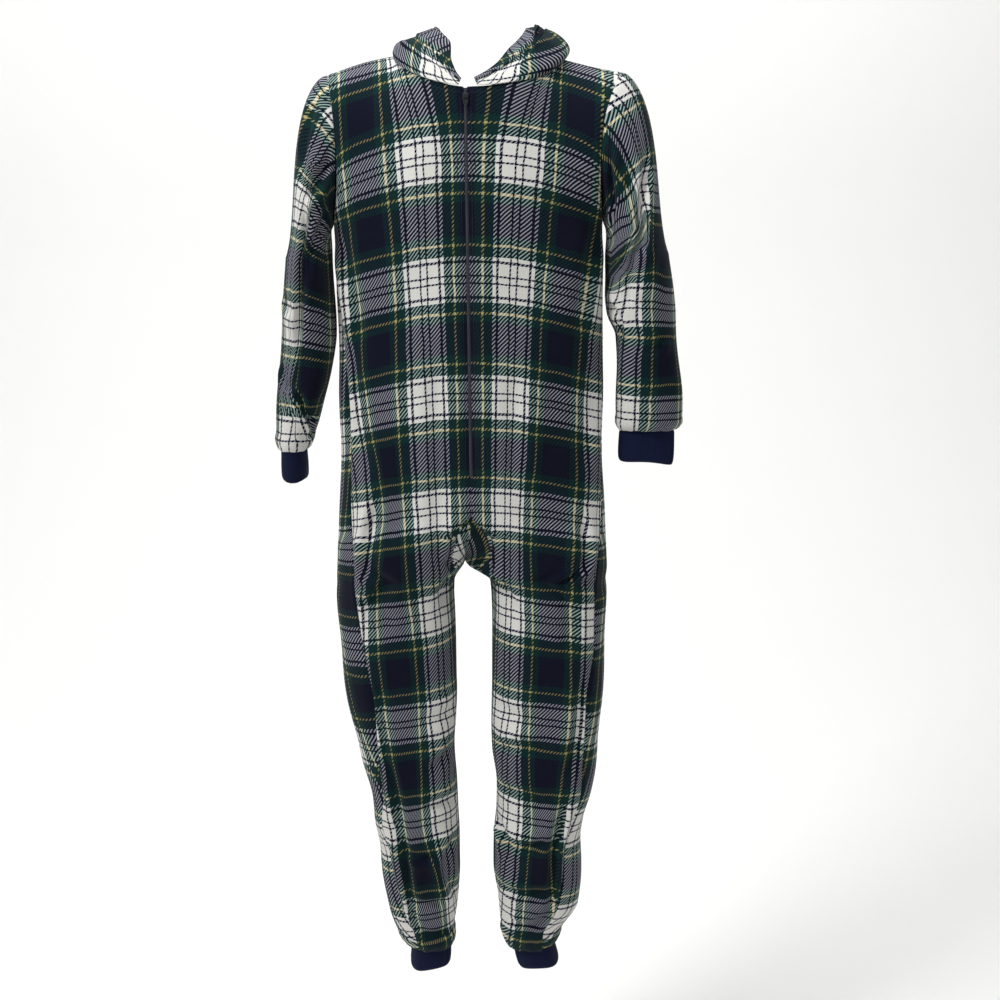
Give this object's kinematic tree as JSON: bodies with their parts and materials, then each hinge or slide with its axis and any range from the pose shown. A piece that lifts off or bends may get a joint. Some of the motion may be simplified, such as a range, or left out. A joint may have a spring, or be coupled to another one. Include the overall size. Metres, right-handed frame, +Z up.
{
  "type": "hooded onesie pajama",
  "caption": "Hooded one-piece fleece pajama in a dark tartan, front zip from neck to seat, ribbed wrist and ankle cuffs, hood lowered behind, filled out as if worn.",
  "frame": {"origin": "inside the neck, between the neck ends of the two shoulder seams", "axes": "+X towards the wearer's left, -Y out of the front, +Z up along the body"},
  "size_m": [0.5496, 0.192, 1.3292],
  "materials": {
    "tartan_fleece": "brushed printed fleece, soft nap",
    "navy_rib": "plain rib knit",
    "zip_tape": "woven tape",
    "zip_coil": "satin nylon coil",
    "zip_metal": "dark lacquer"
  },
  "bodies": {
    "garment": {"front_left_chest": "tartan_fleece", "front_left_trunk": "tartan_fleece", "front_left_thigh": "tartan_fleece", "front_left_shin": "tartan_fleece", "front_right_chest": "tartan_fleece", "front_right_trunk": "tartan_fleece", "front_right_thigh": "tartan_fleece", "front_right_shin": "tartan_fleece", "back_left_chest": "tartan_fleece", "back_left_trunk": "tartan_fleece", "back_left_thigh": "tartan_fleece", "back_left_shin": "tartan_fleece", "back_right_chest": "tartan_fleece", "back_right_trunk": "tartan_fleece", "back_right_thigh": "tartan_fleece", "back_right_shin": "tartan_fleece", "sleeve_left_upper": "tartan_fleece", "sleeve_left_lower": "tartan_fleece", "sleeve_right": "tartan_fleece", "hood_left": "tartan_fleece", "hood_right": "tartan_fleece", "wrist_cuff_left": "navy_rib", "wrist_cuff_right": "navy_rib", "ankle_cuff_left": "navy_rib", "ankle_cuff_right": "navy_rib", "zip_tape_left": "zip_tape", "zip_tape_right": "zip_tape", "zip_chain": "zip_coil", "zip_slider": "zip_metal"},
    "pull": {"zip_pull": "zip_metal"}
  },
  "joints": [
    {"name": "pull_hinge", "type": "hinge", "parent": "garment", "child": "pull", "pos_m": [0, -0.06547, -0.04945], "axis": [-1, 0, 0], "range_deg": [0, 170]}
  ]
}
